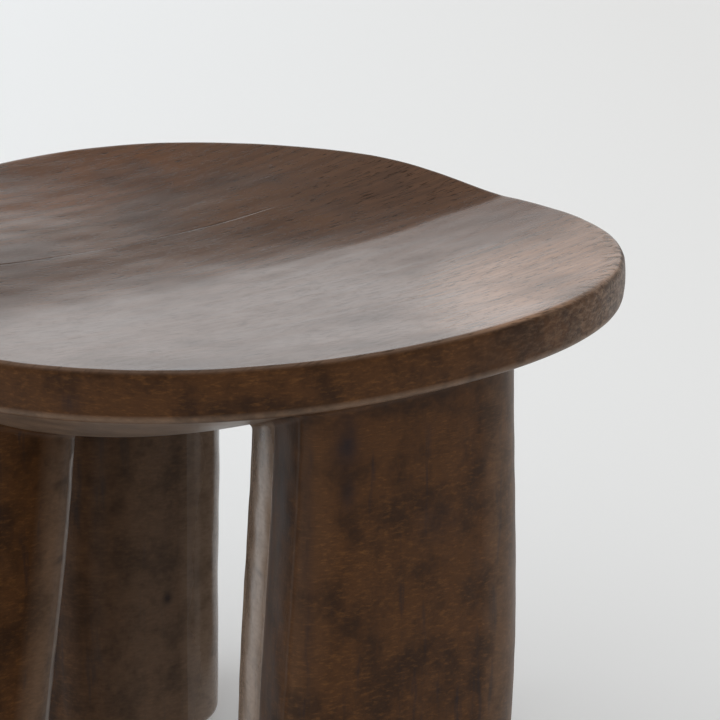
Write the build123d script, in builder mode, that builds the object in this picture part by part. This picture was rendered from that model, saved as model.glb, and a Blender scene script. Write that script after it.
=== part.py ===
from build123d import *

import math
import os

# A low four-legged stool, carved whole from one block of dark hardwood.
# Millimetres, +Z up. The origin is on the floor under the middle of the seat.
# -Y is the front: two legs stand in front and two behind.
# The seat is a shallow dish. A trough runs through it aslant, from the front left to the rear right,
# and the rim stands higher where it crosses the trough's two sides.
# The carving is parted a little below its underside: the seat keeps the short roots of its legs.

# Driving dimensions of the seat
seat_radius = 185.0
valley_height = 278.0
rim_thickness = 22.0
crest_round = 3.5
lower_round = 5.0

# Dish: how its valley line rises to the rear right and to the front left, the long slope on its
# front side, and the step and the lip on its rear side. Behind the step it is hollowed a little, and
# the step starts from a crease that sharpens towards the rear right
trough_angle = 40.0
valley_offset = -3.0
rear_end_rise = 11.3
front_end_rise = 9.6
front_side_rise = 16.5
step_rise = 11.4
step_width = 53.0
lip_rise = 10.3
bowl_depth = 8.0
crease_rise = 0.8
crease_width = 12.0
crease_start = -20.0
crease_length = 120.0

# Belly: the underside follows the dish and swells below the rim's lower edge
belly_depth = 34.0

# Legs: the width of a leg along the rim, its depth towards the middle, and how far its outer side
# bulges. Its root reaches this far below the belly
leg_width = 120.0
leg_depth = 92.0
leg_bulge = 10.0
edge_round = 18.0
foot_round = 7.0
root_height = 6.0
cove_round = 4.0

# One overrun for every cutting or hidden end
overrun = 30.0

# Each leg's sections from the foot up. A section has its level as a share of the valley's height,
# its middle's place as shares of the seat's radius, and its width and depth as shares of a leg's
# A leg's corners go round it from its outer left one, each with its place along and across the leg
# as shares of the section's width and depth, and its rounding as a share of the usual one
front_right_shares = (
    (0.0, (0.362, -0.489), (0.95, 1.01)),
    (0.42, (0.39, -0.479), (1.1, 1.04)),
    (0.8, (0.405, -0.483), (1.02, 1.0)),
)
front_right_corner_shares = (
    (-0.604, -0.5, 0.5),
    (0.589, -0.5, 2.1),
    (0.38, 0.5, 1.0),
    (-0.35, 0.5, 1.2),
    (-0.48, 0.046, 0.35),
)
front_left_shares = (
    (0.0, (-0.732, -0.455), (0.82, 0.89)),
    (0.42, (-0.687, -0.423), (0.88, 0.93)),
    (0.8, (-0.616, -0.401), (0.88, 0.91)),
)
front_left_corner_shares = ((-0.5, -0.5, 1.0), (0.5, -0.5, 0.9), (0.36, 0.5, 1.2), (-0.36, 0.5, 1.2))
rear_left_shares = (
    (0.0, (-0.353, 0.518), (0.92, 0.93)),
    (0.42, (-0.357, 0.523), (0.97, 0.98)),
    (0.8, (-0.325, 0.518), (0.92, 0.93)),
)
rear_left_corner_shares = ((-0.5, -0.5, 1.0), (0.5, -0.5, 1.0), (0.38, 0.5, 1.4), (-0.38, 0.5, 1.4))
rear_right_shares = (
    (0.0, (0.479, 0.496), (0.88, 0.93)),
    (0.42, (0.473, 0.496), (0.93, 0.98)),
    (0.8, (0.458, 0.485), (0.88, 0.93)),
)
rear_right_corner_shares = ((-0.5, -0.5, 1.2), (0.5, -0.5, 1.0), (0.36, 0.5, 1.3), (-0.36, 0.5, 1.1))

# How far the hand-cut outline swings from round: cosine and sine of one to five waves a turn
outline_wave_shares = (
    (-0.0119, 0.0019),
    (0.017, -0.0035),
    (0.0178, -0.0009),
    (0.0096, 0.012),
    (-0.0044, -0.0078),
)
outline_points = 36

# Stations across and along the trough, as shares of the seat's radius
across_shares = (-1.15, -0.9, -0.65, -0.4, -0.2, 0.0, 0.12, 0.24, 0.38, 0.55, 0.75, 0.95, 1.15)
along_shares = (-1.15, -0.8, -0.4, 0.0, 0.4, 0.8, 1.15)
# How sharply each slope bends
front_side_power = 1.65
lip_power = 1.5
belly_power = 2.6
# The belly's swell fades to the right and to both sides of the trough, by these shares at the rim
belly_lean_share = 0.5
belly_ridge_share = 0.6

root_level = valley_height - rim_thickness - belly_depth - root_height
top_level = valley_height + step_rise + lip_rise + overrun
low_level = root_level - overrun


def outline_radius(azimuth):
    """Radius of the seat's outline at an azimuth in degrees from +X."""
    share = 1
    for waves, (cosine, sine) in enumerate(outline_wave_shares, start=1):
        turn = math.radians(waves * azimuth)
        share += cosine * math.cos(turn) + sine * math.sin(turn)
    return share * seat_radius


def rim_share(along, across):
    """How far out a point lies, as a share of the outline's radius on its own azimuth."""
    azimuth = trough_angle + math.degrees(math.atan2(across, along))
    return math.hypot(along, across) / outline_radius(azimuth)


def step_height(along, side):
    """Height of the rear side over the valley line: a crease, the step, a hollow behind it, a lip."""
    fullness = 1 - math.exp(-((side / step_width) ** 2))
    hollow = bowl_depth * max(0, 1 - rim_share(along, side + valley_offset) ** 2)
    sharp = min(1, max(0, (along - crease_start) / crease_length))
    crease = crease_rise * (1 - math.exp(-side / crease_width)) * sharp**2 * (3 - 2 * sharp)
    return (step_rise - hollow) * fullness + crease + lip_rise * (side / seat_radius) ** lip_power


def dish_height(along, across):
    """Height of the dish over the floor: its valley line rises to both ends, its sides from it."""
    end_rise = rear_end_rise if along > 0 else front_end_rise
    height = valley_height + end_rise * (along / seat_radius) ** 2
    side = across - valley_offset
    if side < 0:
        return height + front_side_rise * (-side / seat_radius) ** front_side_power
    return height + step_height(along, side)


def belly_height(along, across):
    """Height of the underside: the dish less the rim's thickness, less the belly's swell."""
    azimuth = trough_angle + math.degrees(math.atan2(across, along))
    rim_radius = outline_radius(azimuth)
    radius = math.hypot(along, across)
    lean = belly_lean_share * radius * math.cos(math.radians(azimuth)) / rim_radius
    ridge = belly_ridge_share * (across / rim_radius) ** 2
    swell = belly_depth * (1 - (radius / rim_radius) ** belly_power) * (1 - lean - ridge)
    return dish_height(along, across) - rim_thickness - swell


def trough_plane(along):
    """A plane square to the trough at a distance along it: its x runs across the seat, its y up."""
    middle = Plane(
        origin=(0, 0, 0),
        x_dir=Vector(0, 1, 0).rotate(Axis.Z, trough_angle),
        z_dir=Vector(1, 0, 0).rotate(Axis.Z, trough_angle),
    )
    return middle.offset(along)


def trough_block(surface_height, far_height):
    """The space between a surface over the trough's stations and a level, as lofted sections."""
    with BuildPart() as block:
        for along_share in along_shares:
            along = along_share * seat_radius
            curve = []
            for across_share in across_shares:
                across = across_share * seat_radius
                curve.append((across, surface_height(along, across)))
            first, last = curve[0], curve[-1]
            with BuildSketch(trough_plane(along)):
                with BuildLine():
                    Spline(*curve)
                    Polyline(last, (last[0], far_height), (first[0], far_height), first)
                make_face()
        loft()
    return block.part


def leg_section(level, place, size, corner_shares):
    """One section across a leg: its outer side bulges with the rim, its other sides are straight."""
    width = size[0] * leg_width
    depth = size[1] * leg_depth
    outward = Vector(*place).normalized()
    corners = []
    for width_share, depth_share, _ in corner_shares:
        corners.append(Vector(width_share * width, depth_share * depth))
    # The two outer corners stand back by the bulge between them
    outer_left, outer_right = corners[0] + Vector(0, leg_bulge), corners[1] + Vector(0, leg_bulge)
    outermost = (corners[0] + corners[1]) / 2
    corners[0], corners[1] = outer_left, outer_right
    # In this plane x runs along the rim and -y points outward
    section_plane = Plane(
        origin=(place[0] * seat_radius, place[1] * seat_radius, level),
        x_dir=Vector(0, 0, 1).cross(outward),
        z_dir=(0, 0, 1),
    )
    with BuildSketch(section_plane) as section:
        with BuildLine():
            ThreePointArc(outer_left, outermost, outer_right)
            Polyline(*corners[1:], outer_left)
        make_face()
        for corner, shares in zip(corners, corner_shares):
            nearest = section.vertices().sort_by_distance(corner)[0]
            fillet(nearest, shares[2] * edge_round)
    return section.sketch


def whole_leg(section_shares, corner_shares):
    """A leg lofted through its sections, and on straight up past the seat."""
    sections = []
    for level_share, place, size in section_shares:
        sections.append(leg_section(level_share * valley_height, place, size, corner_shares))
    sections.append(leg_section(top_level, place, size, corner_shares))
    with BuildPart() as leg:
        loft(sections)
    return leg.part


def root_of(leg):
    """The part of a leg above the parting, which belongs to the seat."""
    with BuildPart() as root:
        add(leg)
        split(bisect_by=Plane.XY.offset(root_level), keep=Keep.TOP)
    return root.part


def carved_leg(leg):
    """The part of a leg below the parting, with its foot's edge worn round."""
    with BuildPart() as carved:
        add(leg)
        split(bisect_by=Plane.XY.offset(root_level), keep=Keep.BOTTOM)
        foot = carved.faces().sort_by(Axis.Z)[0]
        fillet(foot.edges(), foot_round)
    return carved


def is_rim_edge(edge):
    """Whether an edge runs all round the rim."""
    return edge.is_closed


def is_root_edge(edge):
    """Whether an edge lies where a leg's root meets the belly."""
    box = edge.bounding_box()
    return box.min.Z > root_level and box.max.Z < valley_height


whole_legs = {
    "leg_front_right": whole_leg(front_right_shares, front_right_corner_shares),
    "leg_front_left": whole_leg(front_left_shares, front_left_corner_shares),
    "leg_rear_left": whole_leg(rear_left_shares, rear_left_corner_shares),
    "leg_rear_right": whole_leg(rear_right_shares, rear_right_corner_shares),
}

# Seat: a disc of the hand-cut outline, cut to its belly below and to its dish above
above_dish = trough_block(dish_height, top_level + overrun)
below_belly = trough_block(belly_height, low_level - overrun)
outline = []
for index in range(outline_points):
    azimuth = index * 360 / outline_points
    outline.append(Vector(outline_radius(azimuth), 0).rotate(Axis.Z, azimuth))

with BuildPart() as seat:
    with BuildSketch(Plane.XY.offset(low_level)):
        with BuildLine():
            Spline(*outline, periodic=True)
        make_face()
    extrude(amount=top_level - low_level)
    add(below_belly, mode=Mode.SUBTRACT)
    fillet(seat.edges().filter_by(is_rim_edge).sort_by(Axis.Z)[0], lower_round)
    for leg in whole_legs.values():
        edges_before_root = seat.edges()
        add(root_of(leg))
        root_edges = (seat.edges() - edges_before_root).filter_by(is_root_edge)
        fillet(root_edges.sort_by(Axis.X), cove_round)
    add(above_dish, mode=Mode.SUBTRACT)
    fillet(seat.edges().filter_by(is_rim_edge).sort_by(Axis.Z)[-1], crest_round)

os.makedirs("parts", exist_ok=True)
seat.part.label = "seat"
export_step(seat.part, "parts/seat.step")

# Legs
for leg_name, leg in whole_legs.items():
    carved = carved_leg(leg)
    carved.part.label = leg_name
    export_step(carved.part, f"parts/{leg_name}.step")
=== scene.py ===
"""Looks of a low stool carved from one block of dark hardwood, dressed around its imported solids.

The seat is a shallow dish crossed aslant by a trough. Four thick legs grow out of its belly. Sizes are
millimetres in the classes below and become metres when a mesh is made.
"""

import logging
import math
from collections.abc import Callable
from dataclasses import dataclass, field
from enum import Enum

import bpy
import numpy as np
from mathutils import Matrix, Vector


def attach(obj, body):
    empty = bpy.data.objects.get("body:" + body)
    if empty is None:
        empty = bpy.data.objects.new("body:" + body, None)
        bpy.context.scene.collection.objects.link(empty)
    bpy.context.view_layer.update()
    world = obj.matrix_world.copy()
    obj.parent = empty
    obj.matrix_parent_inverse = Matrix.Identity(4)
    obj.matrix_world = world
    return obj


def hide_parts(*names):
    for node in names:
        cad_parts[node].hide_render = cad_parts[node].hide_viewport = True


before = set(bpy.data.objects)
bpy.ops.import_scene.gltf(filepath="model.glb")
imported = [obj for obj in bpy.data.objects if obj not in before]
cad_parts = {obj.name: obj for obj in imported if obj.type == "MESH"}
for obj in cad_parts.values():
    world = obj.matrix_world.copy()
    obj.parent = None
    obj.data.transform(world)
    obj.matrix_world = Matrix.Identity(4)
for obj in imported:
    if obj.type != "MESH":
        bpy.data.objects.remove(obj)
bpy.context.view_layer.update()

log = logging.getLogger("carved_stool")

MM = 0.001
BODY = "root"
# A full leg's width along the rim and depth towards the middle, and the phase between two legs' waves
LEG_SIZE = (120.0, 92.0)
LEG_PHASE = 0.8
# How far above the seat's highest place a leg's last station lies
TOP_MARGIN = 30.0
# The sines of a hand's waves: how many, the turn from one to the next, how steeply they climb and how that
# turns, their lengths as shares of the middle one, from the shortest and by how much each is longer, and
# their shifts, from one to the next and for each radian of phase
SINE_COUNT = 5
SINE_TURN = 2.4
SINE_CLIMB = (0.7, 3.1)
SINE_LENGTHS = (0.72, 0.17)
SINE_SHIFTS = (1.7, 5.0)

Array = np.ndarray


def linear_colour(hex_colour: str) -> tuple[float, float, float, float]:
    """Turns an sRGB hex colour into linear light with full opacity.

    Args:
        hex_colour: Six hex digits after a hash.

    Returns:
        Red, green, blue and opacity, from 0 to 1.
    """
    channels = [int(hex_colour[place : place + 2], 16) / 255 for place in (1, 3, 5)]
    red, green, blue = (c / 12.92 if c <= 0.04045 else ((c + 0.055) / 1.055) ** 2.4 for c in channels)
    return red, green, blue, 1.0


def smooth_step(low: float, high: float, value: Array) -> Array:
    """Rises from 0 at low to 1 at high, flat at both ends.

    Args:
        low: Where the rise starts.
        high: Where the rise ends. It may lie below low, and then the curve falls.
        value: Where to work it out.

    Returns:
        The share of the rise at each value.
    """
    share = np.clip((value - low) / (high - low), 0, 1)
    return share * share * (3 - 2 * share)


def hump(value: Array, middle: float, width: float) -> Array:
    """A bell curve of height 1 round a middle, which falls to 1/e at one width."""
    return np.exp(-(((value - middle) / width) ** 2))


def hand_waves(x: Array, y: Array, z: Array, length: float, turn: float) -> Array:
    """Soft uneven waves, such as a blade and long rubbing leave on carved wood.

    It is the mean of five sines whose directions fan out and whose lengths differ a little.

    Args:
        x: Places in millimetres.
        y: Places in millimetres.
        z: Places in millimetres.
        length: The middle wave length in millimetres.
        turn: A phase in radians, so that two calls differ.

    Returns:
        Heights from -1 to 1.
    """
    total = np.zeros(np.broadcast(x, y, z).shape)
    steepest, climb_turn = SINE_CLIMB
    shortest, longer = SINE_LENGTHS
    next_shift, phase_shift = SINE_SHIFTS
    for order in range(SINE_COUNT):
        heading = turn + SINE_TURN * order
        climb = steepest * math.sin(climb_turn * order + turn)
        stretch = 2 * math.pi / (length * (shortest + longer * order))
        reach = x * math.cos(heading) + y * math.sin(heading) + z * climb
        total += np.sin(stretch * reach + next_shift * order + phase_shift * turn)
    return total / SINE_COUNT


@dataclass(frozen=True)
class Camera:
    """The camera of the photograph, in metres and degrees."""

    place: tuple[float, float, float] = (0.0651, -1.0877, 0.5961)
    pitch: float = 18.33
    lens_mm: float = 118.66
    sensor_mm: float = 36.0
    sight: float = 100.0

    def set_up(self) -> None:
        """Makes the camera and gives it to the scene."""
        data = bpy.data.cameras.new("camera")
        data.lens = self.lens_mm
        data.sensor_width = self.sensor_mm
        data.clip_end = self.sight
        camera = bpy.data.objects.new("camera", data)
        camera.location = self.place
        camera.rotation_euler = (math.radians(90 - self.pitch), 0, 0)
        bpy.context.scene.collection.objects.link(camera)
        bpy.context.scene.camera = camera


def add_node(
    tree: bpy.types.NodeTree, kind: str, inputs: dict | None = None, out: int | str = 0, **settings
) -> bpy.types.NodeSocket:
    """Adds one node with its settings and links.

    Args:
        tree: The node tree.
        kind: The node's type name after its prefix, such as "TexNoise".
        inputs: Sockets, values or hex colours for its inputs, by name or number. A socket is linked.
        out: The name or number of the output that is wanted.
        settings: Properties of the node.

    Returns:
        The wanted output of the new node.
    """
    node = tree.nodes.new("ShaderNode" + kind)
    for name, value in settings.items():
        setattr(node, name, value)
    for name, value in (inputs or {}).items():
        if isinstance(value, bpy.types.NodeSocket):
            tree.links.new(value, node.inputs[name])
        else:
            node.inputs[name].default_value = linear_colour(value) if isinstance(value, str) else value
    return node.outputs[out]


@dataclass(frozen=True)
class Pattern:
    """Noise in patches, whose size in millimetres is given along each axis of the place that it reads."""

    reads: str
    size: tuple[float, float, float]
    detail: float


@dataclass(frozen=True)
class Ramp:
    """A share that goes smoothly from start to end while what it reads goes from low to high."""

    reads: str
    low: float
    high: float
    start: float = 0.0
    end: float = 1.0

    def inputs(self, value: bpy.types.NodeSocket) -> dict:
        """The inputs of a range node that works the share out."""
        ends = {"From Min": self.low, "From Max": self.high, "To Min": self.start, "To Max": self.end}
        return {"Value": value, **ends}


# What the mesh holds at each point
MESH_VALUES = ("dish", "warm", "pale", "worn", "soot", "tip")
# The wood's patterns. On the fibre, sizes run along it, across it and through its layers, which lie flat and
# are six times as thick as a fibre is wide. Real pores and fibres are 0.1 to 0.3 mm wide, too fine to show,
# so they are drawn at about 1 mm.
PATTERNS = {
    "bands": Pattern("fibre", (130.0, 38.0, 228.0), 2.0),
    "grain": Pattern("fibre", (150.0, 4.0, 24.0), 3.0),
    "fine": Pattern("fibre", (60.0, 1.2, 7.2), 2.0),
    "pores": Pattern("fibre", (8.0, 0.9, 5.4), 1.0),
    "speckle": Pattern("streak", (5.0, 5.0, 1.7), 4.0),
    "flecks": Pattern("streak", (4.5, 4.5, 1.1), 2.0),
    "blotch": Pattern("place", (22.0, 22.0, 22.0), 4.0),
    "cloud": Pattern("place", (70.0, 70.0, 70.0), 2.0),
    "drips": Pattern("place", (9.0, 9.0, 80.0), 3.0),
    "checks": Pattern("place", (12.0, 2.6, 2.6), 2.0),
}
# What becomes of the patterns: the dish's colours, the flanks', the rubbed places' with their painted sheen,
# the stained places', and gloss
RAMPS = {
    "red_bands": Ramp("bands", 0.3, 0.6, 0.6, 1.0),
    "pale_bands": Ramp("bands", 0.3, 0.6, 0.7, 1.0),
    "shade": Ramp("cloud", 0.48, 0.72, 0.0, 0.45),
    "dark_grain": Ramp("grain", 0.6, 0.38, 0.0, 0.3),
    "pore": Ramp("pores", 0.57, 0.68),
    "dark_pore": Ramp("pores", 0.57, 0.68, 0.0, 0.75),
    "brown": Ramp("blotch", 0.33, 0.62),
    "speck": Ramp("speckle", 0.48, 0.72),
    "speck_zone": Ramp("cloud", 0.35, 0.6, 0.1, 0.4),
    "dark_fleck": Ramp("flecks", 0.46, 0.3, 0.0, 0.35),
    "bright_fleck": Ramp("flecks", 0.56, 0.75),
    "bright_zone": Ramp("blotch", 0.42, 0.65, 0.0, 0.5),
    "drip": Ramp("drips", 0.56, 0.72),
    "drip_zone": Ramp("height", 0.236, 0.256, 0.6, 0.0),
    "rub_sheen_speck": Ramp("speckle", 0.3, 0.6, 0.8, 1.0),
    "rub_sheen_zone": Ramp("blotch", 0.35, 0.6, 0.65, 1.0),
    "tip_speck": Ramp("speckle", 0.4, 0.65, 0.1, 0.6),
    "stain_zone": Ramp("blotch", 0.3, 0.6, 0.5, 1.0),
    "stain_fibre": Ramp("grain", 0.35, 0.65, 1.0, 0.55),
    "check_cell": Ramp("checks", 0.54, 0.62),
    "crack_width": Ramp("from_crack", 0.0007, 0.0001),
    "crack_reach": Ramp("from_middle", 0.11, 0.055),
    "grain_gloss": Ramp("grain", 0.3, 0.7, -0.015, 0.015),
    "cloud_gloss": Ramp("cloud", 0.35, 0.65, -0.03, 0.03),
}
# Shares that are products of others
PRODUCTS = {
    "reddened": ("warm", "red_bands"),
    "paled": ("pale", "pale_bands"),
    "specks": ("speck", "speck_zone"),
    "bright_flecks": ("bright_fleck", "bright_zone"),
    "dripped": ("drip", "drip_zone"),
    "rubbed_and_sheen": ("worn", "rub_sheen_speck", "rub_sheen_zone"),
    "tip_rubbed": ("tip", "tip_speck"),
    "stained": ("soot", "stain_zone", "stain_fibre"),
    "crack": ("crack_width", "crack_reach", "dish"),
    "check": ("check_cell", "tip"),
    "flank_speckle": ("speckle", "flank"),
}
# How high each stands in the relief, as shares of its height. Cracks and checks are cut deep.
RELIEF = {"grain": 0.015, "fine": 0.08, "pore": -0.35, "flank_speckle": 0.35, "slit": -4.0}


@dataclass(frozen=True)
class OiledHardwood:
    """Dense dark hardwood, adzed, smoothed and rubbed for years with oil and hands.

    The dish shows its fibres as fine parallel lines. The rim, the belly and the legs are browner, with
    speckle, old stains and fine flecks. Worn places are paler and greyer, and so are places with a painted
    sheen: some leg edges, the belly and the rim's lower round. Its level is how strongly it reflects, its
    polish the roughness of the dish, of rubbed places and of places with painted sheen, and its dullness
    that of the rest.
    """

    name: str
    level: float
    polish: float
    dullness: float = 0.42
    ior: float = 1.5
    dish_brown: str = "#644A39"
    dish_red: str = "#6B472E"
    dish_shade: str = "#3B302B"
    dish_pale: str = "#A58066"
    flank_dark: str = "#2C1A0C"
    flank_brown: str = "#442A14"
    flank_orange: str = "#664321"
    # The colour of worn wood, also used as a painted sheen
    worn: str = "#927D6B"
    soot: str = "#17151A"
    # The fibre lies level, turned by this many degrees, and sways across by this many millimetres
    fibre_turn: float = 40.0
    sway_size: float = 140.0
    sway_reach: float = 4.0
    noise_roughness: float = 0.67
    # Below the belly the streaks sink towards the back, by this share
    streak_slope: Ramp = Ramp("height", 0.236, 0.256, 0.2, 0.0)
    # One long crack follows the fibre behind the trough: its place across and along, and its wander
    crack_across: float = 59.5
    crack_middle: float = -15.0
    crack_wander: float = 5.0
    slit_darkness: float = 0.85
    relief_height: float = 0.05

    def places(self, tree: bpy.types.NodeTree) -> dict[str, bpy.types.NodeSocket]:
        """Adds the places that the patterns read.

        Args:
            tree: The node tree.

        Returns:
            By name, the object's own place, its height, the place turned to the fibre and swayed with it,
            and the place along the streaks.
        """
        place = add_node(tree, "TexCoord", out="Object")
        turn = {"Vector": place, "Rotation": (0, 0, -math.radians(self.fibre_turn))}
        turned = add_node(tree, "Mapping", turn)
        noise = {"Vector": turned, "Scale": 1 / (self.sway_size * MM), "Detail": 0.0}
        sway = add_node(tree, "TexNoise", noise, "Color")
        reach = self.sway_reach * MM
        swing = {0: sway, 1: (0, reach, reach), 2: (0, -reach / 2, -reach / 2)}
        sway = add_node(tree, "VectorMath", swing, operation="MULTIPLY_ADD")
        fibre = add_node(tree, "VectorMath", {0: turned, 1: sway}, operation="ADD")
        axes = add_node(tree, "SeparateXYZ", {0: place}).node.outputs
        slope = self.streak_slope.inputs(axes["Z"])
        slope = add_node(tree, "MapRange", slope, interpolation_type="SMOOTHSTEP")
        sunk = add_node(tree, "Math", {0: slope, 1: axes["Y"], 2: axes["Z"]}, operation="MULTIPLY_ADD")
        streak = add_node(tree, "CombineXYZ", {"X": axes["X"], "Y": axes["Y"], "Z": sunk})
        return {"place": place, "height": axes["Z"], "turned": turned, "fibre": fibre, "streak": streak}

    def shares(self, tree: bpy.types.NodeTree) -> dict[str, bpy.types.NodeSocket]:
        """Adds the mesh's values, the patterns, the crack and all that is worked out from them.

        Args:
            tree: The node tree.

        Returns:
            Every value by its name in the tables above, and the slits: the crack with the checks.
        """
        found = self.places(tree)
        for name in MESH_VALUES:
            found[name] = add_node(tree, "Attribute", out="Fac", attribute_name=name)
        for name, pattern in PATTERNS.items():
            scale = tuple(1 / (length * MM) for length in pattern.size)
            drawn = add_node(tree, "VectorMath", {0: found[pattern.reads], 1: scale}, operation="MULTIPLY")
            noise = {"Scale": 1.0, "Detail": pattern.detail, "Roughness": self.noise_roughness}
            found[name] = add_node(tree, "TexNoise", {"Vector": drawn, **noise})

        lengths = add_node(tree, "SeparateXYZ", {0: found["turned"]}).node.outputs
        wander = self.crack_wander * MM
        swung = {0: found["grain"], 1: wander, 2: lengths["Y"]}
        across = add_node(tree, "Math", swung, operation="MULTIPLY_ADD")
        for name, start, middle in (
            ("from_crack", across, self.crack_across * MM + wander / 2),
            ("from_middle", lengths["X"], self.crack_middle * MM),
        ):
            gap = add_node(tree, "Math", {0: start, 1: middle}, operation="SUBTRACT")
            found[name] = add_node(tree, "Math", {0: gap}, operation="ABSOLUTE")
        found["flank"] = add_node(tree, "Math", {0: 1.0, 1: found["dish"]}, operation="SUBTRACT")

        for name, ramp in RAMPS.items():
            span = ramp.inputs(found[ramp.reads])
            found[name] = add_node(tree, "MapRange", span, interpolation_type="SMOOTHSTEP")
        for name, (first, *others) in PRODUCTS.items():
            share = found[first]
            for other in others:
                share = add_node(tree, "Math", {0: share, 1: found[other]}, operation="MULTIPLY")
            found[name] = share
        found["slit"] = add_node(tree, "Math", {0: found["crack"], 1: found["check"]}, operation="ADD")
        darkness = {0: found["slit"], 1: self.slit_darkness}
        found["dark_slit"] = add_node(tree, "Math", darkness, operation="MULTIPLY")
        return found

    def build(self) -> bpy.types.Material:
        """Makes the material.

        Each layer has a base and, in order, the coats over it: a colour and the share that it covers. Both
        may be a layer from before.

        Returns:
            The material, which reads Object coordinates and the mesh's values.
        """
        material = bpy.data.materials.new(self.name)
        material.use_nodes = True
        tree = material.node_tree
        tree.nodes.clear()
        found = self.shares(tree)

        layers = {
            "dish_wood": (
                self.dish_brown,
                (self.dish_red, "reddened"),
                # Paler near the right end: partly a painted highlight
                (self.dish_pale, "paled"),
                (self.dish_shade, "shade"),
                (self.dish_shade, "dark_grain"),
                (self.flank_dark, "dark_pore"),
            ),
            "flank_wood": (
                self.flank_dark,
                (self.flank_brown, "brown"),
                (self.flank_orange, "specks"),
                (self.flank_dark, "dark_fleck"),
                (self.flank_orange, "bright_flecks"),
                (self.soot, "dripped"),
            ),
            "wood": (
                "flank_wood",
                ("dish_wood", "dish"),
                # Paler and greyer where worn, and where a sheen is painted on leg edges, the belly and the
                # rim's lower round
                (self.worn, "rubbed_and_sheen"),
                (self.worn, "tip_rubbed"),
                (self.soot, "stained"),
                (self.flank_dark, "dark_slit"),
            ),
        }
        for name, (base, *coats) in layers.items():
            colour = found.get(base, base)
            for coat, share in coats:
                colours = {0: found[share], 6: colour, 7: found.get(coat, coat)}
                colour = add_node(tree, "Mix", colours, 2, data_type="RGBA", clamp_factor=True)
            found[name] = colour

        smooth = add_node(tree, "Math", {0: found["dish"], 1: found["worn"]}, operation="MAXIMUM")
        gloss = Ramp("smooth", 0.0, 1.0, self.dullness, self.polish).inputs(smooth)
        gloss = add_node(tree, "MapRange", gloss, interpolation_type="SMOOTHSTEP")
        for share in ("grain_gloss", "cloud_gloss"):
            gloss = add_node(tree, "Math", {0: gloss, 1: found[share]}, operation="ADD")
        relief = 0.0
        for share, height in RELIEF.items():
            step = {0: found[share], 1: height, 2: relief}
            relief = add_node(tree, "Math", step, operation="MULTIPLY_ADD")
        bump = {"Height": relief, "Strength": 1.0, "Distance": self.relief_height * MM}
        surface = {
            "Base Color": found["wood"],
            "Roughness": gloss,
            "Normal": add_node(tree, "Bump", bump),
            "IOR": self.ior,
            "Specular IOR Level": self.level,
        }
        output = tree.nodes.new("ShaderNodeOutputMaterial")
        tree.links.new(add_node(tree, "BsdfPrincipled", surface), output.inputs["Surface"])
        return material


def make_piece(
    name: str, points: Array, quads: Array, triangles: Array, fields: dict[str, Array], crease: float = 50.0
) -> bpy.types.Object:
    """Makes a mesh object from arrays, in metres, and links it to the scene.

    Args:
        name: The piece's name.
        points: Places in millimetres, one row each.
        quads: Four point numbers for each four-sided face.
        triangles: Three point numbers for each three-sided face.
        fields: A value for each point, by the attribute's name.
        crease: Faces that meet at more than this angle in degrees keep a sharp edge.

    Returns:
        The object, at the origin.
    """
    mesh = bpy.data.meshes.new(name)
    mesh.from_pydata((points * MM).tolist(), [], quads.tolist() + triangles.tolist())
    mesh.update()
    for title, values in fields.items():
        mesh.attributes.new(title, "FLOAT", "POINT").data.foreach_set("value", values.astype(np.float32))
    mesh.polygons.foreach_set("use_smooth", np.ones(len(mesh.polygons), bool))
    mesh.set_sharp_from_angle(angle=math.radians(crease))
    piece = bpy.data.objects.new(name, mesh)
    bpy.context.scene.collection.objects.link(piece)
    return piece


def ring_quads(upper: Array, lower: Array) -> Array:
    """Quads between closed rings of point numbers, facing outwards when they run anticlockwise.

    Args:
        upper: Point numbers of one ring or of several, one row each.
        lower: As many rings below them.

    Returns:
        Four point numbers for each quad.
    """
    upper, lower = np.atleast_2d(upper), np.atleast_2d(lower)
    corners = [lower, np.roll(lower, -1, axis=1), np.roll(upper, -1, axis=1), upper]
    return np.stack(corners, axis=-1).reshape(-1, 4)


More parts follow.
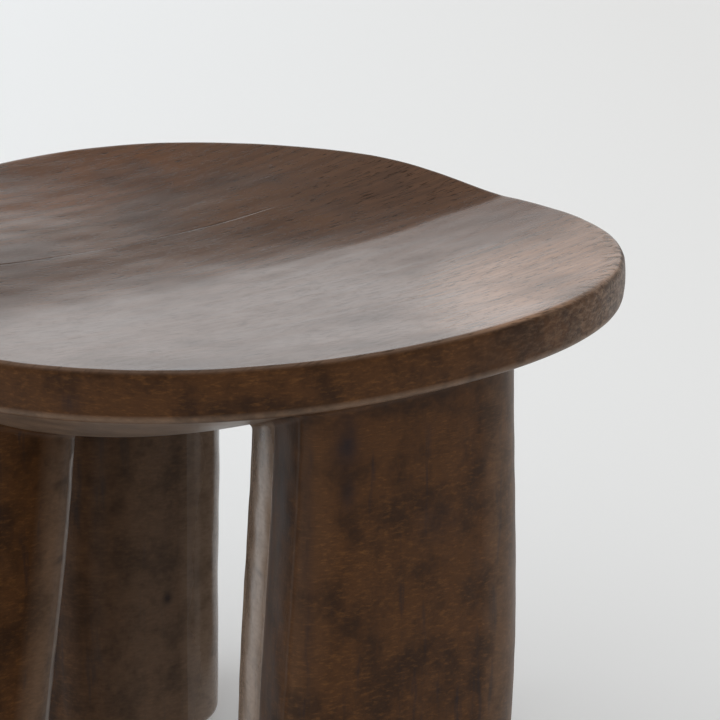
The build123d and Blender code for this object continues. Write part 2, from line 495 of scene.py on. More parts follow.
@dataclass(frozen=True)
class SeatForm:
    """The seat's sizes in millimetres, and the surfaces that follow from them."""

    radius: float = 185.0
    valley_height: float = 278.0
    rim_thickness: float = 22.0
    crest_round: float = 3.5
    lower_round: float = 5.0
    trough_turn: float = math.radians(40)
    valley_offset: float = -3.0
    rear_end_rise: float = 11.3
    front_end_rise: float = 9.6
    front_side_rise: float = 16.5
    step_rise: float = 11.4
    step_width: float = 53.0
    lip_rise: float = 10.3
    bowl_depth: float = 8.0
    crease_rise: float = 0.8
    crease_width: float = 12.0
    crease_start: float = -20.0
    crease_length: float = 120.0
    belly_depth: float = 34.0
    root_height: float = 6.0
    outline_waves: tuple = (
        (-0.0119, 0.0019),
        (0.017, -0.0035),
        (0.0178, -0.0009),
        (0.0096, 0.012),
        (-0.0044, -0.0078),
    )
    front_side_power: float = 1.65
    lip_power: float = 1.5
    belly_power: float = 2.6
    belly_lean: float = 0.5
    belly_ridge: float = 0.6
    # Shallow waves of the blade and of rubbing: their depth, and for each set its share of that, its
    # stretch along the trough, its length and its phase
    rub_depth: float = 0.12
    rub_waves: tuple = ((1.0, 0.45, 34.0, 0.4), (0.6, 0.5, 17.0, 1.9))
    # Redder wood at the rear left and at the tip, and paler wood near the right end, partly a painted
    # highlight:
    # where each share rises, by distances along and across the trough
    red_rear: tuple = ((110.0, 40.0), (92.0, 124.0))
    red_rear_least: float = 0.15
    red_tip: tuple = ((60.0, 130.0), (-38.0, 38.0))
    red_tip_most: float = 0.6
    pale_right: tuple[float, float] = (70.0, 140.0)
    pale_near: tuple[float, float] = (-45.0, -95.0)

    @property
    def parting(self) -> float:
        """The level at which the seat's roots meet the legs."""
        return self.valley_height - self.rim_thickness - self.belly_depth - self.root_height

    def outline(self, azimuth: Array) -> Array:
        """Radius of the hand-cut outline: a circle swung by one to five waves a turn."""
        share = np.ones_like(azimuth)
        for waves, (cosine, sine) in enumerate(self.outline_waves, start=1):
            share += cosine * np.cos(waves * azimuth) + sine * np.sin(waves * azimuth)
        return self.radius * share

    def trough_place(self, x: Array, y: Array) -> tuple[Array, Array]:
        """Distances along the trough and across it."""
        cosine, sine = math.cos(self.trough_turn), math.sin(self.trough_turn)
        return x * cosine + y * sine, y * cosine - x * sine

    def smooth_dish(self, x: Array, y: Array) -> Array:
        """Height of the dish.

        Its valley line rises to both ends as a square. Its front side rises from it by a power. Behind lie
        a crease that sharpens towards the rear right, a bell-shaped step, a hollow and a lip.
        """
        along, across = self.trough_place(x, y)
        end_rise = np.where(along > 0, self.rear_end_rise, self.front_end_rise)
        height = self.valley_height + end_rise * (along / self.radius) ** 2
        side = across - self.valley_offset
        reach = np.abs(side) / self.radius
        front = self.front_side_rise * reach**self.front_side_power
        fullness = 1 - np.exp(-((side / self.step_width) ** 2))
        share = np.hypot(x, y) / self.outline(np.arctan2(y, x))
        hollow = self.bowl_depth * np.clip(1 - share**2, 0, 1)
        sharp = smooth_step(self.crease_start, self.crease_start + self.crease_length, along)
        crease = self.crease_rise * (1 - np.exp(-np.abs(side) / self.crease_width)) * sharp
        rear = (self.step_rise - hollow) * fullness + crease + self.lip_rise * reach**self.lip_power
        return height + np.where(side < 0, front, rear)

    def dish(self, x: Array, y: Array) -> Array:
        """The dish with the soft waves of the blade and of long rubbing, drawn out along the trough."""
        along, across = self.trough_place(x, y)
        waves = sum(
            share * hand_waves(along * stretch, across, 0 * x, length, phase)
            for share, stretch, length, phase in self.rub_waves
        )
        return self.smooth_dish(x, y) + self.rub_depth * waves

    def warm_zones(self, x: Array, y: Array) -> Array:
        """How red the wood is, from 0 to 1: one zone along the fibre at the rear left, one at the tip."""
        along, across = self.trough_place(x, y)
        least = self.red_rear_least
        rear = smooth_step(*self.red_rear[1], across)
        rear = rear * (least + (1 - least) * smooth_step(*self.red_rear[0], along))
        tip = self.red_tip_most * smooth_step(*self.red_tip[0], along) * hump(across, *self.red_tip[1])
        return np.maximum(rear, tip)

    def pale_zone(self, x: Array, y: Array) -> Array:
        """How pale the wood is, from 0 to 1: the near side of the right end, lighter there partly as a
        painted highlight.
        """
        _, across = self.trough_place(x, y)
        return smooth_step(*self.pale_right, x) * smooth_step(*self.pale_near, across)

    def belly(self, x: Array, y: Array) -> Array:
        """Height of the underside: the dish less the rim's thickness, less a swell that fades to the rim,
        to the right and to both sides of the trough."""
        along, across = self.trough_place(x, y)
        rim = self.outline(np.arctan2(y, x))
        share = np.hypot(x, y) / rim
        lean = self.belly_lean * x / rim
        ridge = self.belly_ridge * (across / rim) ** 2
        swell = self.belly_depth * (1 - share**self.belly_power) * (1 - lean - ridge)
        return self.smooth_dish(x, y) - self.rim_thickness - swell


@dataclass(frozen=True)
class Station:
    """One section across a leg: its level, its middle and its size, in millimetres."""

    level: float
    middle: tuple[float, float]
    size: tuple[float, float]


@dataclass(frozen=True)
class Leg:
    """One leg: a rounded column whose outer side bulges with the rim.

    Its middle and its size follow a cubic through its stations, as a smooth loft does. Its corners go round
    it from the outer left one. Each has its place as shares of the width and the depth, and its rounding as
    a share of edge_round. Some corners, and the side after a corner, are paler, and wear_and_sheen gives
    both: hands have rubbed them, and where they catch the light a painted sheen lightens them more.
    """

    name: str
    stations: tuple[Station, ...]
    corners: tuple[tuple[float, float, float], ...]
    wear_and_sheen: tuple[tuple[float, float], ...]
    phase: float
    bulge: float = 10.0
    edge_round: float = 18.0
    foot_round: float = 7.0
    cove_round: float = 4.0
    outer_points: int = 80
    corner_points: int = 16
    side_points: int = 32
    foot_rings: int = 8
    column_rings: int = 140
    side_bulge: float = 1.6
    waves_depth: float = 0.3
    wave_lengths: tuple[float, float] = (38.0, 15.0)
    # The long waves are drawn out up the leg, and the short ones are shallower
    long_stretch: float = 0.5
    short_share: float = 0.5
    # Wear and painted sheen fade over this many points on either side
    wear_and_sheen_fade: int = 7

    def interpolate(self, levels: Array) -> Array:
        """The middle and the size at each level, by the cubic through the four stations.

        Args:
            levels: Levels in millimetres.

        Returns:
            Middle x, middle y, width and depth, one row for each level.
        """
        knots = np.array([s.level for s in self.stations])
        table = np.array([(*s.middle, *s.size) for s in self.stations])
        result = np.zeros((len(levels), table.shape[1]))
        for index, knot in enumerate(knots):
            others = np.delete(knots, index)
            weight = np.prod((levels[:, None] - others) / (knot - others), axis=1)
            result += weight[:, None] * table[index]
        return result

    def outline(self, width: float, depth: float) -> tuple[Array, Array, Array]:
        """A section's outline: an arc outside, straight sides, and a rounding of its own at each corner.

        A rounding's middle lies where the two lines beside its corner meet once both are moved in by its
        radius.

        Args:
            width: Width along the rim.
            depth: Depth towards the middle of the stool.

        Returns:
            Points, outward directions and wear with painted sheen, anticlockwise, in a plane whose x runs
            along the rim and whose -y points outwards.
        """
        table = np.array(self.corners)
        corners = table[:, :2] * (width, depth)
        corners[:2, 1] += self.bulge
        rounds = table[:, 2] * self.edge_round
        half = (corners[1, 0] - corners[0, 0]) / 2
        arc_radius = (half**2 + self.bulge**2) / (2 * self.bulge)
        arc_middle = corners[:2].mean(axis=0) + (0, arc_radius - self.bulge)
        sides = np.roll(corners, -1, axis=0) - corners
        sides /= np.linalg.norm(sides, axis=1)[:, None]
        normals = np.column_stack([sides[:, 1], -sides[:, 0]])

        middles = np.empty_like(corners)
        for index, (corner, radius) in enumerate(zip(corners, rounds)):
            pair = normals[[index - 1, index]]
            if index > 1:
                middles[index] = np.linalg.solve(pair, pair @ corner - radius)
                continue
            # An outer corner: its straight side, moved in, meets the moved arc in two points
            normal = pair[1] if index else pair[0]
            run = np.array([-normal[1], normal[0]])
            start = corner - radius * normal - arc_middle
            swing = math.sqrt((start @ run) ** 2 - start @ start + (arc_radius - radius) ** 2)
            both = [arc_middle + start + run * (sign * swing - start @ run) for sign in (-1, 1)]
            middles[index] = min(both, key=lambda place: math.dist(place, corner))
        outer = middles[:2] - arc_middle
        arc_ends = np.arctan2(outer[:, 1], outer[:, 0])
        headings = np.arctan2(normals[:, 1], normals[:, 0])

        spans: list[tuple[Array, Array, Array]] = []

        def add_arc(
            middle: Array, radius: float, start: float, end: float, points: int, wear_and_sheen: float
        ) -> None:
            """Adds an arc, anticlockwise."""
            angle = start + np.linspace(0, (end - start) % (2 * math.pi), points, endpoint=False)
            direction = np.column_stack([np.cos(angle), np.sin(angle)])
            spans.append((middle + radius * direction, direction, np.full(points, wear_and_sheen)))

        add_arc(arc_middle, arc_radius, arc_ends[0], arc_ends[1], self.outer_points, self.wear_and_sheen[0][1])
        last = len(corners) - 1
        for index in [*range(1, last + 1), 0]:
            start = arc_ends[1] if index == 1 else headings[index - 1]
            end = arc_ends[0] if index == 0 else headings[index]
            corner_share, side_share = self.wear_and_sheen[index]
            add_arc(middles[index], rounds[index], start, end, self.corner_points, corner_share)
            if index == 0:
                break
            following = 0 if index == last else index + 1
            share = np.linspace(0, 1, self.side_points, endpoint=False)[:, None]
            begin = middles[index] + rounds[index] * normals[index]
            finish = middles[following] + rounds[following] * normals[index]
            facing = np.tile(normals[index], (len(share), 1))
            # The side swells as a parabola
            swell = 4 * self.side_bulge * share * (1 - share) * normals[index]
            side = begin + (finish - begin) * share + swell
            spans.append((side, facing, np.full(len(share), side_share)))
        points, directions, wear_and_sheen = (np.concatenate(part) for part in zip(*spans))
        fade = range(-self.wear_and_sheen_fade, self.wear_and_sheen_fade + 1)
        return points, directions, sum(np.roll(wear_and_sheen, step) for step in fade) / len(fade)

    def rings(self, levels: Array) -> tuple[Array, Array, Array]:
        """Rings of the leg's skin.

        Args:
            levels: The rings' levels.

        Returns:
            Places and outward directions, both as rings by points by x, y and z, and the wear round a ring.
        """
        shapes = self.interpolate(levels)
        places, facings = [], []
        for level, (x, y, width, depth) in zip(levels, shapes):
            outward = np.array([x, y]) / math.hypot(x, y)
            along = np.array([-outward[1], outward[0]])
            points, directions, wear_and_sheen = self.outline(width, depth)
            axes = np.stack([along, -outward])
            flat = points @ axes + (x, y)
            facing = directions @ axes
            places.append(np.column_stack([flat, np.full(len(flat), level)]))
            facings.append(np.column_stack([facing, np.zeros(len(flat))]))
        places, facings = np.array(places), np.array(facings)
        x, y, z = np.moveaxis(places, -1, 0)
        long_waves, short_waves = self.wave_lengths
        waves = hand_waves(x, y, z * self.long_stretch, long_waves, self.phase)
        waves = waves + self.short_share * hand_waves(x, y, z, short_waves, self.phase + 1)
        places += facings * (self.waves_depth * waves)[..., None]
        return places, facings, wear_and_sheen


def station_table(seat: SeatForm, rows: tuple) -> tuple[Station, ...]:
    """Turns a leg's shares into stations, the last one repeated above the seat.

    Args:
        seat: The seat that the places and levels are shares of.
        rows: Level, middle and size shares, from the foot up.

    Returns:
        The stations.
    """
    stations = [
        Station(
            level * seat.valley_height,
            (place[0] * seat.radius, place[1] * seat.radius),
            (size[0] * LEG_SIZE[0], size[1] * LEG_SIZE[1]),
        )
        for level, place, size in rows
    ]
    top = seat.valley_height + seat.step_rise + seat.lip_rise + TOP_MARGIN
    stations.append(Station(top, stations[-1].middle, stations[-1].size))
    return tuple(stations)


SEAT = SeatForm()
LEG_ROWS = {
    "leg_front_right": (
        (0.0, (0.362, -0.489), (0.95, 1.01)),
        (0.42, (0.39, -0.479), (1.1, 1.04)),
        (0.8, (0.405, -0.483), (1.02, 1.0)),
    ),
    "leg_front_left": (
        (0.0, (-0.732, -0.455), (0.82, 0.89)),
        (0.42, (-0.687, -0.423), (0.88, 0.93)),
        (0.8, (-0.616, -0.401), (0.88, 0.91)),
    ),
    "leg_rear_left": (
        (0.0, (-0.353, 0.518), (0.92, 0.93)),
        (0.42, (-0.357, 0.523), (0.97, 0.98)),
        (0.8, (-0.325, 0.518), (0.92, 0.93)),
    ),
    "leg_rear_right": (
        (0.0, (0.479, 0.496), (0.88, 0.93)),
        (0.42, (0.473, 0.496), (0.93, 0.98)),
        (0.8, (0.458, 0.485), (0.88, 0.93)),
    ),
}
LEG_CORNERS = {
    "leg_front_right": (
        (-0.604, -0.5, 0.5),
        (0.589, -0.5, 2.1),
        (0.38, 0.5, 1.0),
        (-0.35, 0.5, 1.2),
        (-0.48, 0.046, 0.35),
    ),
    "leg_front_left": ((-0.5, -0.5, 1.0), (0.5, -0.5, 0.9), (0.36, 0.5, 1.2), (-0.36, 0.5, 1.2)),
    "leg_rear_left": ((-0.5, -0.5, 1.0), (0.5, -0.5, 1.0), (0.38, 0.5, 1.4), (-0.38, 0.5, 1.4)),
    "leg_rear_right": ((-0.5, -0.5, 1.2), (0.5, -0.5, 1.0), (0.36, 0.5, 1.3), (-0.36, 0.5, 1.1)),
}
# How pale each corner and the side after it are: rubbed by hands, and where the values are highest, on the
# front right leg's left facet, the front left leg's right arris and the rear left leg's right edge, a
# painted sheen where they catch the light
LEG_WEAR_AND_SHEEN = {
    "leg_front_right": ((0.05, 0.0), (0.25, 0.15), (0.3, 0.1), (0.95, 0.9), (0.3, 0.0)),
    "leg_front_left": ((0.25, 0.05), (0.15, 0.0), (0.5, 0.6), (0.3, 0.1)),
    "leg_rear_left": ((0.25, 0.0), (0.25, 0.0), (0.1, 0.3), (1.0, 0.9)),
    "leg_rear_right": ((0.25, 0.0), (0.3, 0.1), (0.3, 0.0), (0.3, 0.1)),
}


@dataclass(frozen=True)
class Stain:
    """An old dark stain: its middle and its reach along x, y and z in millimetres, and how dark it is."""

    middle: tuple[float, float, float]
    reach: tuple[float, float, float]
    amount: float


STAINS = (
    Stain((31.5, -135.0, 222.0), (3.0, 14.0, 26.0), 0.8),
    Stain((27.0, -124.0, 140.0), (3.0, 12.0, 20.0), 0.6),
    Stain((43.0, -155.0, 190.0), (2.5, 12.0, 45.0), 0.7),
    Stain((59.5, -156.0, 251.0), (5.0, 14.0, 11.0), 0.9),
    Stain((60.0, -156.0, 228.0), (3.0, 14.0, 7.0), 0.7),
    Stain((35.5, -150.0, 214.0), (3.0, 6.0, 4.0), 0.8),
    Stain((100.0, -133.0, 205.0), (12.0, 14.0, 9.0), 0.4),
    Stain((-53.0, -176.0, 276.0), (4.0, 8.0, 4.0), 0.8),
    Stain((-36.8, 62.8, 83.0), (2.5, 5.0, 3.5), 1.0),
    Stain((-4.0, -179.5, 290.5), (7.0, 2.2, 3.0), 0.7),
    Stain((23.0, -109.0, 238.0), (2.0, 5.0, 3.0), 0.9),
    Stain((21.6, -117.0, 175.0), (5.0, 6.0, 1.6), 0.6),
    Stain((-69.0, -92.0, 208.0), (5.0, 5.0, 1.4), 0.7),
    Stain((-71.5, -90.0, 170.0), (6.0, 5.0, 1.6), 0.8),
    Stain((-80.0, 58.0, 170.0), (14.0, 12.0, 30.0), 0.5),
    Stain((82.0, 108.0, 288.0), (34.0, 26.0, 10.0), 0.2),
    Stain((129.0, 36.0, 288.0), (26.0, 16.0, 10.0), 0.3),
    Stain((30.0, 62.0, 283.0), (20.0, 12.0, 8.0), 0.35),
    Stain((128.0, 74.0, 286.0), (26.0, 9.0, 8.0), 0.3),
    Stain((-50.0, -12.0, 280.0), (30.0, 12.0, 8.0), 0.25),
    Stain((-120.0, -140.0, 150.0), (9.0, 12.0, 50.0), 0.6),
    Stain((120.0, 128.0, 190.0), (10.0, 12.0, 40.0), 0.7),
    Stain((-100.0, 134.0, 210.0), (9.0, 12.0, 30.0), 0.7),
)
# Wear and painted sheen above this share have the polished finish
POLISHED_SHARE = 0.45


def stain_field(points: Array) -> Array:
    """How dark the old stains make each point, from 0 to 1."""
    field_value = np.zeros(len(points))
    for stain in STAINS:
        distance = (points - stain.middle) / stain.reach
        field_value = np.maximum(field_value, stain.amount * np.exp(-(distance**2).sum(axis=1)))
    return field_value


@dataclass
class Seat:
    """The dished seat with the short roots of its legs."""

    form: SeatForm
    legs: list[Leg]
    name: str = "seat_carved"
    cells: int = 160
    edge_steps: int = 8
    rim_bulge: float = 0.5
    rim_waves: float = 0.25
    rim_wave_length: float = 26.0
    rim_wave_radius: float = 190.0
    rim_wave_climb: float = 1.5
    rim_wave_phase: float = 0.9
    # Slopes at the rim are measured over this many millimetres
    probe: float = 4.0
    # Where on the crest's arc the dish's colours fade out, and the middle and width of its pale line, worn
    # and partly a painted highlight
    crest_fade: tuple[float, float] = (0.25, 0.6)
    crest_line: tuple[float, float] = (0.3, 0.2)
    # How pale the crest's line, the lower round and the belly are made: the crest worn with a painted
    # highlight, the lower round worn with a painted sheen, the belly a painted sheen
    crest_wear_and_highlight: float = 0.2
    lower_wear_and_sheen: float = 0.35
    belly_sheen: float = 0.35
    # The tip's middle and half width in degrees, and the shares of the radius between which it begins
    tip_spread: tuple[float, float] = (-6.0, 24.0)
    tip_start: tuple[float, float] = (0.93, 0.98)
    # A root's levels, its rings up its side and round its cove, and how far its end is tucked into the seat
    skin_levels: int = 40
    side_rings: int = 14
    cove_rings: int = 8
    tuck: float = 2.0
    tuck_rise: float = 1.5
    cap_rise: float = 4.0
    points: list[Array] = field(default_factory=list)
    quads: list[Array] = field(default_factory=list)
    triangles: list[Array] = field(default_factory=list)
    dish_share: list[Array] = field(default_factory=list)
    edge_share: list[Array] = field(default_factory=list)
    polish: list[Array] = field(default_factory=list)
    count: int = 0

    def add_points(
        self, places: Array, dish: Array | float, edge: Array | float, polished: bool | None = None
    ) -> Array:
        """Adds points with their shares of dish and of rubbed edge.

        Args:
            places: Places, with x, y and z last.
            dish: Share of the dish's colours at each point.
            edge: Share of wear and painted sheen at each point.
            polished: Whether they have the polished finish. Left out, the dish's share and that share tell.

        Returns:
            The points' numbers, in the shape of the places.
        """
        shape = places.shape[:-1]
        numbers = np.arange(self.count, self.count + math.prod(shape)).reshape(shape)
        self.points.append(places.reshape(-1, 3))
        self.dish_share.append(np.broadcast_to(dish, shape).reshape(-1).astype(float))
        self.edge_share.append(np.broadcast_to(edge, shape).reshape(-1).astype(float))
        shine = (self.dish_share[-1] > 0.5) | (self.edge_share[-1] > POLISHED_SHARE)
        self.polish.append(shine if polished is None else np.full(shine.shape, polished))
        self.count += numbers.size
        return numbers

    def disc(self) -> tuple[Array, Array]:
        """A square grid pulled out to a disc, with no pole: each square ring becomes a round one.

        Returns:
            Shares of the radius and azimuths, on the grid.
        """
        line = np.linspace(-1, 1, self.cells + 1)
        a, b = np.meshgrid(line, line, indexing="ij")
        wide = np.abs(a) > np.abs(b)
        safe_a, safe_b = np.where(a == 0, 1, a), np.where(b == 0, 1, b)
        share = np.where(wide, a, b)
        azimuth = np.where(wide, math.pi / 4 * b / safe_a, math.pi / 2 - math.pi / 4 * a / safe_b)
        return np.abs(share), azimuth + np.where(share < 0, math.pi, 0)

    def border(self, grid: Array) -> Array:
        """The numbers on a grid's border, anticlockwise from the middle of its right side's start."""
        last = self.cells
        return np.concatenate([grid[last, :last], grid[:0:-1, last], grid[0, :0:-1], grid[:last, 0]])

    def body(self) -> None:
        """The seat's skin: dish, crest, rim, lower round and belly, worked out at each azimuth.

        The crest is an arc tangent to the dish and to the upright rim, and the lower round one tangent to
        the rim and to the belly.
        """
        form = self.form
        share, azimuth = self.disc()
        rim_azimuth = self.border(azimuth)
        rim_radius = form.outline(rim_azimuth)
        cosine, sine = np.cos(rim_azimuth), np.sin(rim_azimuth)

        def height(surface: Callable[[Array, Array], Array], radius: Array) -> Array:
            """Height of a surface at a radius on each of the rim's azimuths."""
            return surface(radius * cosine, radius * sine)

        crest, lower, probe = form.crest_round, form.lower_round, self.probe
        rise = (height(form.smooth_dish, rim_radius) - height(form.smooth_dish, rim_radius - probe)) / probe
        tilt = np.arctan(rise)
        dish_radius = rim_radius - crest - crest * np.sin(tilt)
        crest_middle = height(form.dish, dish_radius) - crest * np.cos(tilt)
        drop = (height(form.belly, rim_radius) - height(form.belly, rim_radius - probe)) / probe
        lean = np.arctan(drop)
        belly_radius = rim_radius - lower + lower * np.sin(lean)
        lower_middle = height(form.belly, belly_radius) + lower * np.cos(lean)

        step = np.linspace(0, 1, self.edge_steps + 1)[1:, None]
        last = step[:-1]
        crest_angle = (math.pi / 2 + tilt) * (1 - step)
        lower_angle = -(math.pi / 2 - lean) * last
        radius = np.concatenate(
            [
                rim_radius - crest + crest * np.cos(crest_angle),
                rim_radius + self.rim_bulge * np.sin(math.pi * step),
                rim_radius - lower + lower * np.cos(lower_angle),
            ]
        )
        level = np.concatenate(
            [
                crest_middle + crest * np.sin(crest_angle),
                crest_middle + (lower_middle - crest_middle) * step,
                lower_middle + lower * np.sin(lower_angle),
            ]
        )
        dish_rows = np.concatenate([1 - smooth_step(*self.crest_fade, step), 0 * step, 0 * last])
        crest_wear_and_highlight = self.crest_wear_and_highlight * hump(step, *self.crest_line)
        lower_wear_and_sheen = self.lower_wear_and_sheen * np.sin(math.pi * last)
        wear_and_sheen_rows = np.concatenate([crest_wear_and_highlight, 0 * step, lower_wear_and_sheen])

        def grid_points(
            edge_radius: Array, surface: Callable[[Array, Array], Array], dish: float, wear_and_sheen: float
        ) -> Array:
            """A whole disc of points under or over the seat, out to a radius given round its border."""
            wrapped = np.mod(rim_azimuth, 2 * math.pi)
            order = np.argsort(wrapped)
            around = np.interp(
                np.mod(azimuth, 2 * math.pi), wrapped[order], edge_radius[order], period=2 * math.pi
            )
            x, y = share * around * np.cos(azimuth), share * around * np.sin(azimuth)
            return self.add_points(np.stack([x, y, surface(x, y)], axis=-1), dish, wear_and_sheen, True)

        top = grid_points(dish_radius, form.dish, 1.0, 0.0)
        under = grid_points(belly_radius, form.belly, 0.0, self.belly_sheen)
        mean, climb = self.rim_wave_radius, self.rim_wave_climb * level
        waves = hand_waves(mean * cosine, mean * sine, climb, self.rim_wave_length, self.rim_wave_phase)
        radius = radius + self.rim_waves * waves * np.sin(math.pi * np.linspace(0, 1, len(radius)))[:, None]
        places = np.stack([radius * cosine, radius * sine, level], axis=-1)
        rows = self.add_points(places, dish_rows, wear_and_sheen_rows)
        rings = np.concatenate([self.border(top)[None], rows, self.border(under)[None]])
        self.quads.append(ring_quads(rings[:-1], rings[1:]))
        for grid, upwards in ((top, True), (under, False)):
            corners = [grid[:-1, :-1], grid[1:, :-1], grid[1:, 1:], grid[:-1, 1:]]
            faces = np.stack(corners if upwards else corners[::-1], axis=-1)
            self.quads.append(faces.reshape(-1, 4))

    def root(self, leg: Leg) -> None:
        """A leg's root: it climbs from the parting, flares in a cove that ends flat on the belly, and is
        closed inside the seat.

        Args:
            leg: The leg whose skin it carries on.
        """
        form = self.form
        levels = np.linspace(form.parting, form.valley_height, self.skin_levels)
        skin, facing, wear_and_sheen = leg.rings(levels)
        cove = leg.cove_round
        foot = skin[0]
        top = form.belly(foot[:, 0], foot[:, 1]) - cove
        rows = []
        for share in np.linspace(0, 1, self.side_rings):
            level = form.parting + (top - form.parting) * share
            flat = [self.sample(skin[:, :, axis], levels, level) for axis in range(2)]
            rows.append(np.column_stack([*flat, level]))
        last = rows[-1]
        for angle in np.linspace(0, math.pi / 2, self.cove_rings + 1)[1:]:
            place = last + facing[0] * cove * (1 - math.cos(angle))
            level = form.belly(place[:, 0], place[:, 1]) - cove * (1 - math.sin(angle))
            rows.append(np.column_stack([place[:, :2], level]))
        hidden = rows[-1] + facing[0] * self.tuck
        hidden[:, 2] = form.belly(hidden[:, 0], hidden[:, 1]) + self.tuck_rise
        rows.append(hidden)
        # The wear and painted sheen of a corner fade out where the root meets the belly
        fade = np.linspace(0, 1, len(rows)) ** 0.5
        numbers = self.add_points(np.array(rows[::-1]), 0.0, fade[:, None] * wear_and_sheen)
        self.quads.append(ring_quads(numbers[:-1], numbers[1:]))
        for ring, lift, upwards in ((numbers[0], self.cap_rise, True), (numbers[-1], 0.0, False)):
            source = rows[-1] if upwards else rows[0]
            middle = self.add_points((source.mean(axis=0) + (0, 0, lift))[None], 0.0, 0.0)
            self.triangles.append(fan(ring, int(middle[0]), upwards))

    @staticmethod
    def sample(values: Array, levels: Array, wanted: Array) -> Array:
        """Reads values given on rings of even levels at one level for each point round the ring."""
        # Kept a little short of the last ring, so that one lies above
        place = np.clip((wanted - levels[0]) / (levels[1] - levels[0]), 0, len(levels) - 1.001)
        below = place.astype(int)
        share = place - below
        column = np.arange(values.shape[1])
        return values[below, column] * (1 - share) + values[below + 1, column] * share

    def build(self, finishes: list[bpy.types.Material]) -> bpy.types.Object:
        """Makes the seat.

        Args:
            finishes: The dish's finish and the flanks'.

        Returns:
            The finished piece.
        """
        self.body()
        for leg in self.legs:
            self.root(leg)
        points, quads = np.concatenate(self.points), np.concatenate(self.quads)
        x, y = points[:, 0], points[:, 1]
        azimuth = np.arctan2(y, x)
        outer = smooth_step(*self.tip_start, np.hypot(x, y) / self.form.outline(azimuth))
        fields = {
            "dish": np.concatenate(self.dish_share),
            "worn": np.concatenate(self.edge_share),
            "soot": stain_field(points),
            "tip": outer * hump(azimuth, *np.radians(self.tip_spread)),
            "warm": self.form.warm_zones(x, y),
            "pale": self.form.pale_zone(x, y),
        }
        piece = make_piece(self.name, points, quads, np.concatenate(self.triangles), fields)
        polished = np.concatenate(self.polish)
        return dress(piece, finishes, "seat", polished)


def fan(ring: Array, middle: int, upwards: bool) -> Array:
    """Triangles from a ring that runs anticlockwise to a point in its middle.

    Args:
        ring: The ring's point numbers.
        middle: The middle point's number.
        upwards: Whether they face up.

    Returns:
        Three point numbers for each triangle.
    """
    following = np.roll(ring, -1)
    pair = (ring, following) if upwards else (following, ring)
    return np.stack([*pair, np.full_like(ring, middle)], axis=-1)


def dress(
    piece: bpy.types.Object, finishes: list[bpy.types.Material], node: str, polished: Array
) -> bpy.types.Object:
    """Gives a piece its finishes and its place in the frame.

    Args:
        piece: The piece.
        finishes: The polished finish and the oiled one.
        node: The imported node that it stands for.
        polished: Whether each point is polished. A face is when all its points are.

    Returns:
        The same piece.
    """
    for finish in finishes:
        piece.data.materials.append(finish)
    corners = np.empty(len(piece.data.loops), np.int32)
    piece.data.loops.foreach_get("vertex_index", corners)
    starts = np.empty(len(piece.data.polygons), np.int32)
    piece.data.polygons.foreach_get("loop_start", starts)
    whole = np.minimum.reduceat(polished[corners].astype(np.int32), starts)
    piece.data.polygons.foreach_set("material_index", 1 - whole)
    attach(piece, BODY)
    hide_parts(node)
    log.info("%s: %d points, %d faces", piece.name, len(piece.data.vertices), len(piece.data.polygons))
    return piece


def build_leg(leg: Leg, form: SeatForm, finishes: list[bpy.types.Material]) -> bpy.types.Object:
    """Makes a leg from the floor to the parting, with its foot's edge worn round.

    Args:
        leg: The leg.
        form: The seat that it carries.
        finishes: The polished finish and the oiled one.

    Returns:
        The finished piece.
    """
    arc = np.linspace(0, math.pi / 2, leg.foot_rings)
    low = leg.foot_round * (1 - np.sin(arc[::-1]))
    levels = np.concatenate([low, np.linspace(leg.foot_round, form.parting, leg.column_rings)[1:]])
    skin, facing, wear_and_sheen = leg.rings(levels)
    inset = np.zeros(len(levels))
    inset[: len(low)] = leg.foot_round * (1 - np.cos(arc[::-1]))
    skin = skin - facing * inset[:, None, None]
    rings, around = skin.shape[:2]
    numbers = np.arange(rings * around).reshape(rings, around)
    quads = ring_quads(numbers[1:], numbers[:-1])
    points = np.concatenate([skin.reshape(-1, 3), skin[[0, -1]].mean(axis=1)])
    bottom, top = rings * around, rings * around + 1
    triangles = np.concatenate([fan(numbers[0], bottom, False), fan(numbers[-1], top, True)])
    fields = {title: np.zeros(len(points)) for title in ("dish", "tip", "warm", "pale")}
    fields["worn"] = np.concatenate([np.tile(wear_and_sheen, rings), (0, 0)])
    fields["soot"] = stain_field(points)
    piece = make_piece(leg.name + "_carved", points, quads, triangles, fields)
    return dress(piece, finishes, leg.name, fields["worn"] > POLISHED_SHARE)


class Light(Enum):
    """The studio's soft suns, which leave no gloss: direction towards them, strength, spread in degrees."""

    DOME = ((-0.1, 0.1, 1.0), 1.6, 170.0)
    LEFT = ((-1.0, -0.4, 0.4), 0.75, 90.0)
    RIGHT = ((1.0, -0.7, 0.4), 0.8, 90.0)
    FRONT = ((0.05, -1.0, 0.3), 0.42, 60.0)


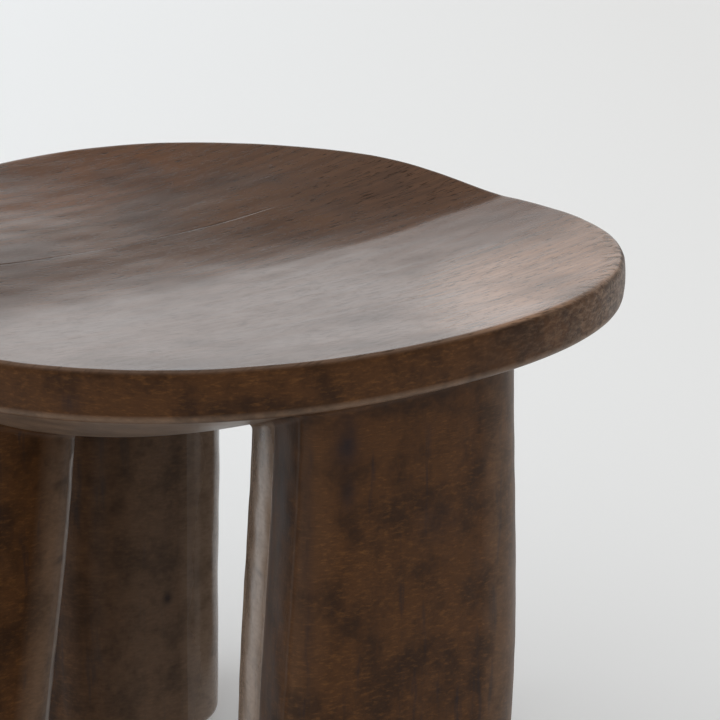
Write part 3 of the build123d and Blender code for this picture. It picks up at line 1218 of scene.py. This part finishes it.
@dataclass(frozen=True)
class Studio:
    """A pale floor, painted lighter on the left and glowing a little, both painted light, under soft light,
    with a bright band low round the back and a dim front.

    The band is dimmer high up on the right and just above the floor. Heights are sines of the elevation.
    """

    # The paper's colour is lighter on the left than on the right, a painted light falloff, and its glow is
    # painted light
    floor_left: str = "#DBDDDE"
    floor_right: str = "#D2D2D1"
    floor_fade: float = 0.5
    floor_glow: float = 0.3
    floor_roughness: float = 0.9
    floor_gloss: float = 0.1
    floor_half: float = 12.0
    sky: tuple[float, float, float, float] = (0.985, 0.99, 1.0, 1.0)
    band: float = 1.25
    band_top: float = 0.41
    band_soft: float = 0.025
    right_dim: float = 0.38
    right_lean: float = 3.0
    right_range: tuple[float, float] = (0.17, 0.3)
    low_dim: float = 0.13
    low_range: tuple[float, float] = (0.1, 0.15)
    above: float = 0.09
    front: float = 0.08
    back_range: tuple[float, float] = (-0.45, 0.15)

    def floor(self) -> None:
        """Lays the floor: pale paper that glows a little, painted light that lightens the shade on it, and
        that is painted lighter on the left than on the right as a falloff of light.
        """
        half = self.floor_half
        mesh = bpy.data.meshes.new("floor")
        corners = [(-half, -half, 0), (half, -half, 0), (half, half, 0), (-half, half, 0)]
        mesh.from_pydata(corners, [], [(0, 1, 2, 3)])
        floor = bpy.data.objects.new("floor", mesh)
        bpy.context.scene.collection.objects.link(floor)
        material = bpy.data.materials.new("matt_studio_paper")
        material.use_nodes = True
        tree = material.node_tree
        place = add_node(tree, "TexCoord", out="Object")
        # Lighter on the left, darker on the right: a painted light falloff
        right = add_node(tree, "SeparateXYZ", {0: place}, "X")
        fade = {"Value": right, "From Min": -self.floor_fade, "From Max": self.floor_fade}
        colours = {0: add_node(tree, "MapRange", fade), 6: self.floor_left, 7: self.floor_right}
        paper = add_node(tree, "Mix", colours, 2, data_type="RGBA")
        shader = tree.nodes["Principled BSDF"]
        # The paper glows in its own colour: painted light that lifts its shadows
        for title in ("Base Color", "Emission Color"):
            tree.links.new(paper, shader.inputs[title])
        shader.inputs["Emission Strength"].default_value = self.floor_glow
        shader.inputs["Roughness"].default_value = self.floor_roughness
        shader.inputs["Specular IOR Level"].default_value = self.floor_gloss
        mesh.materials.append(material)

    def lights(self) -> None:
        """Hangs the soft lights."""
        for light in Light:
            direction, strength, spread = light.value
            data = bpy.data.lights.new(light.name.lower(), "SUN")
            data.energy = strength
            data.angle = math.radians(spread)
            lamp = bpy.data.objects.new(light.name.lower(), data)
            lamp.rotation_euler = Vector(direction).to_track_quat("Z", "Y").to_euler()
            lamp.visible_glossy = False
            bpy.context.scene.collection.objects.link(lamp)

    def surroundings(self) -> None:
        """The room: a bright band round the back below a height, dim above it and dim in front."""
        world = bpy.data.worlds.new("studio")
        bpy.context.scene.world = world
        world.use_nodes = True
        tree = world.node_tree
        tree.nodes.clear()
        heading = add_node(tree, "TexCoord", out="Generated")
        found = dict(add_node(tree, "SeparateXYZ", {0: heading}).node.outputs.items())
        lean = {0: found["X"], 1: self.right_lean, 2: found["Z"]}
        found["lean"] = add_node(tree, "Math", lean, operation="MULTIPLY_ADD")
        band_edge = (self.band_top - self.band_soft, self.band_top + self.band_soft)
        ramps = {
            "back": Ramp("Z", *band_edge, self.band, self.above),
            "right": Ramp("lean", *self.right_range, 1.0, 1 - self.right_dim),
            "low": Ramp("Z", *self.low_range, 1 - self.low_dim, 1.0),
            "behind": Ramp("Y", *self.back_range),
        }
        for name, ramp in ramps.items():
            span = ramp.inputs(found[ramp.reads])
            found[name] = add_node(tree, "MapRange", span, interpolation_type="SMOOTHSTEP")
        back = found["back"]
        for dim in ("right", "low"):
            back = add_node(tree, "Math", {0: back, 1: found[dim]}, operation="MULTIPLY")
        room = add_node(tree, "Mix", {0: found["behind"], 2: self.front, 3: back}, data_type="FLOAT")
        background = add_node(tree, "Background", {"Color": self.sky, "Strength": room})
        tree.links.new(background, tree.nodes.new("ShaderNodeOutputWorld").inputs["Surface"])

    def set_up(self) -> None:
        """Sets the studio up, with colours shown as they are."""
        self.floor()
        self.lights()
        self.surroundings()
        bpy.context.scene.view_settings.view_transform = "Standard"


def main() -> None:
    """Builds the studio and the stool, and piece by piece."""
    logging.basicConfig(level=logging.INFO, format="%(name)s: %(message)s")
    Camera().set_up()
    Studio().set_up()
    polished = OiledHardwood("polished_dish_hardwood", level=0.5, polish=0.22).build()
    oiled = OiledHardwood("oiled_flank_hardwood", level=0.12, polish=0.34).build()
    legs = [
        Leg(name, station_table(SEAT, rows), LEG_CORNERS[name], LEG_WEAR_AND_SHEEN[name], LEG_PHASE * index)
        for index, (name, rows) in enumerate(LEG_ROWS.items())
    ]
    Seat(SEAT, legs).build([polished, oiled])
    for leg in legs:
        build_leg(leg, SEAT, [polished, oiled])


if __name__ == "__main__":
    main()
